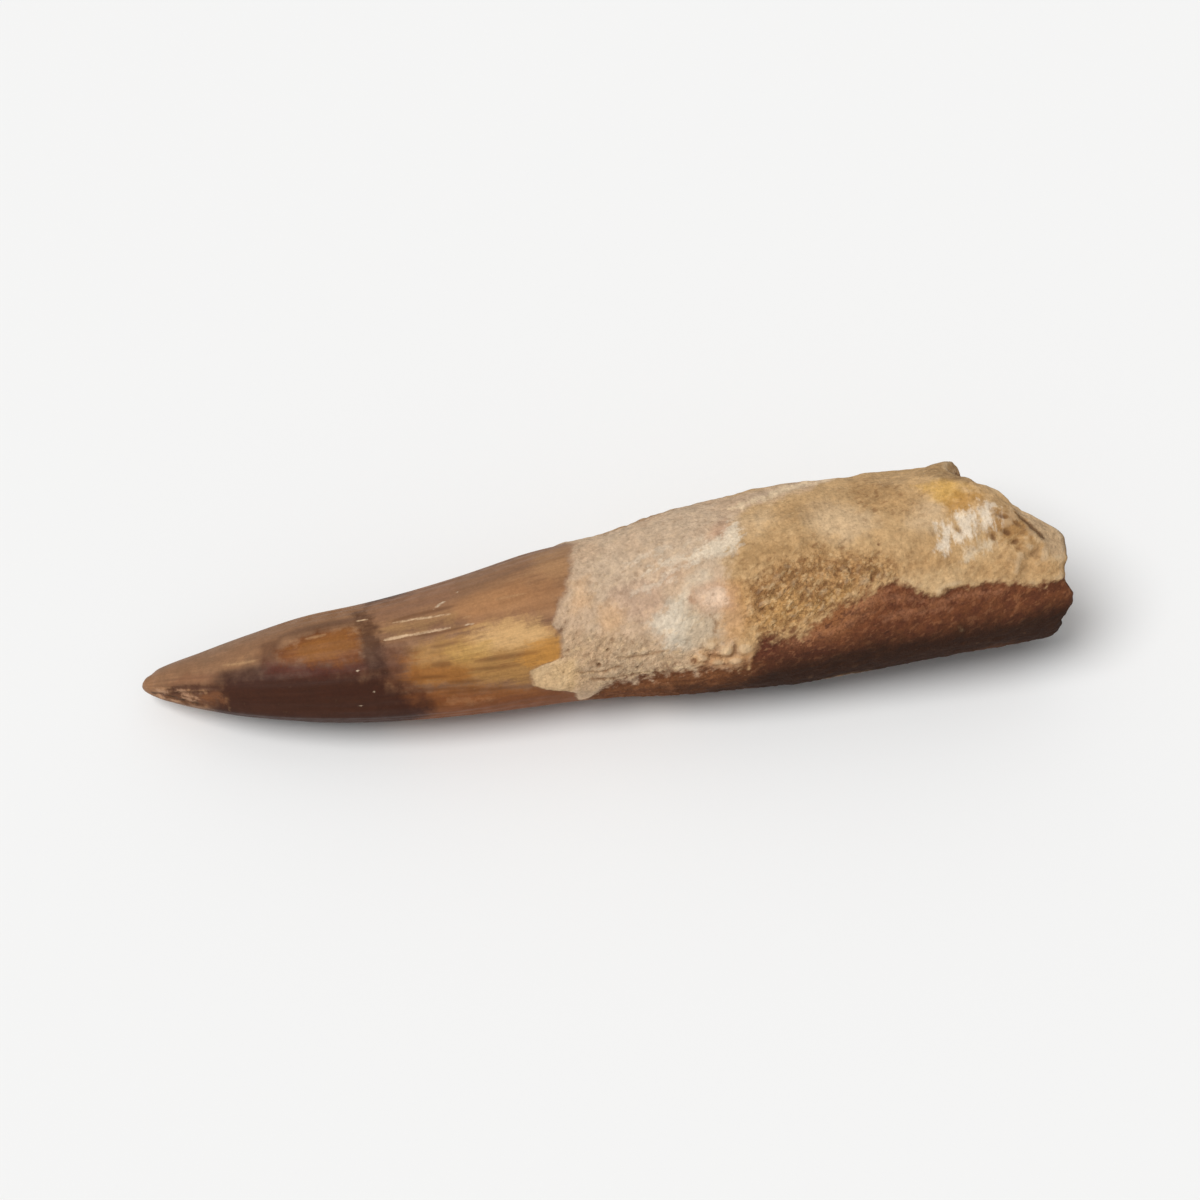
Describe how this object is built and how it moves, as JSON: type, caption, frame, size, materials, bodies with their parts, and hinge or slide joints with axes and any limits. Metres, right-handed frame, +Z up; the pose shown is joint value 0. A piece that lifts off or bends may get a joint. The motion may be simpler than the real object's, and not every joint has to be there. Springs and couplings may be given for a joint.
{
  "type": "spinosaurus tooth",
  "caption": "Fossil spinosaurus tooth: a gently curved conical crown on a thick sand-crusted root with a broken end, lying on its side.",
  "frame": {"origin": "on the surface it lies on, under the middle of the tooth's box", "axes": "+X along the tooth from the tip to the broken root end, +Y to the side that the crown's tip curves back to, +Z up"},
  "size_m": [0.1426, 0.0328, 0.0277],
  "materials": {
    "fossil": "semi-gloss brown enamel on the crown, matt sandy tan crust on the root"
  },
  "bodies": {
    "root": {"tooth": "fossil"}
  },
  "joints": []
}
